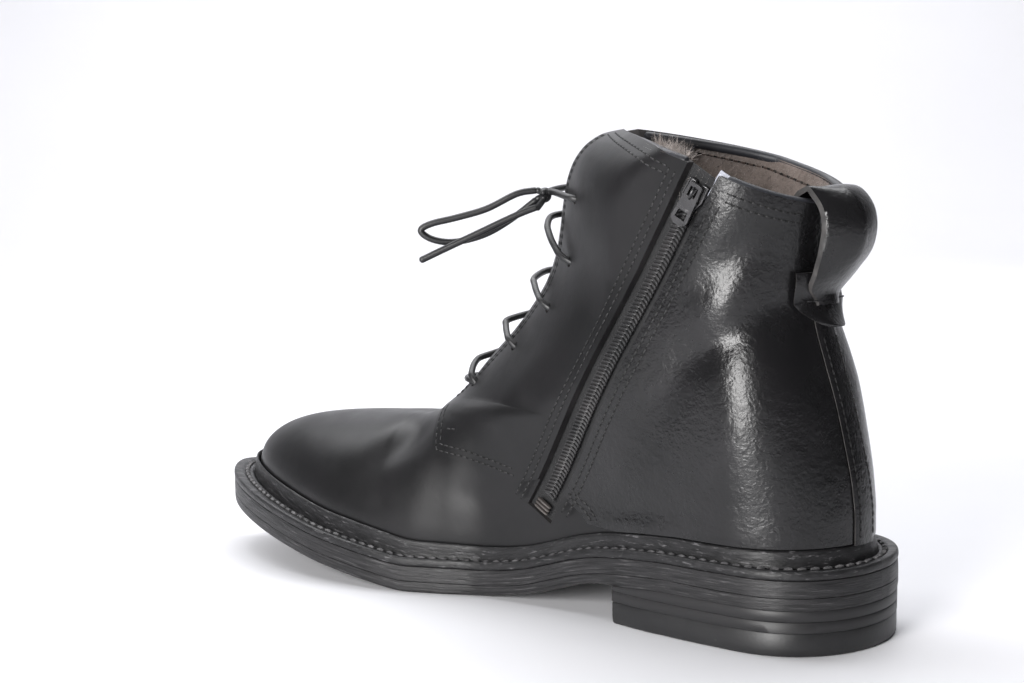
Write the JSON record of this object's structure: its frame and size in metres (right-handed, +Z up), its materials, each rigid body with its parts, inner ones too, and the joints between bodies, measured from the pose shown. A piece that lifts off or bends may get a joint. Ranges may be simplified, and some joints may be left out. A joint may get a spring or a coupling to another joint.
{
  "type": "winter boot",
  "caption": "Black leather ankle boot for winter with a storm welt, stacked heel, inner side zip, laced front, pull loop and warm lining, standing empty.",
  "frame": {"origin": "on the floor, in the middle of the flat underside of the heel", "axes": "+X towards the toe, +Y towards the inner side of the foot, +Z up"},
  "size_m": [0.305, 0.0997, 0.1711],
  "materials": {
    "sole": "satin",
    "midsole": "satin",
    "welt": "satin",
    "insole": "matte",
    "rubber": "satin",
    "heel": "satin",
    "leather": "gloss",
    "tongue": "satin",
    "zip_tape": "matte",
    "zip_chain": "satin",
    "zip_metal": "satin",
    "lace": "satin"
  },
  "bodies": {
    "boot": {"outsole": "sole", "midsole": "midsole", "welt": "welt", "insole": "insole", "top_piece": "rubber", "heel_lift_lower": "heel", "heel_lift_upper": "heel", "upper": "leather", "quarter_front": "leather", "quarter_rear": "leather", "quarter_outer": "leather", "back_strip": "leather", "loop_patch": "leather", "pull_loop": "leather", "tongue": "tongue", "zip_tape": "zip_tape", "zip_chain": "zip_chain", "zip_stop": "zip_metal", "zip_slider": "zip_metal", "lace_bars": "lace", "lace_knot": "lace", "lace_loop": "lace", "lace_end": "lace"},
    "zip_pull": {"zip_pull": "zip_metal"}
  },
  "joints": [
    {"name": "zip_pull_hinge", "type": "hinge", "parent": "boot", "child": "zip_pull", "pos_m": [0.00656, 0.03404, 0.15264], "axis": [0.8345, 0.1742, 0.5228], "range_deg": [0, 150]}
  ]
}
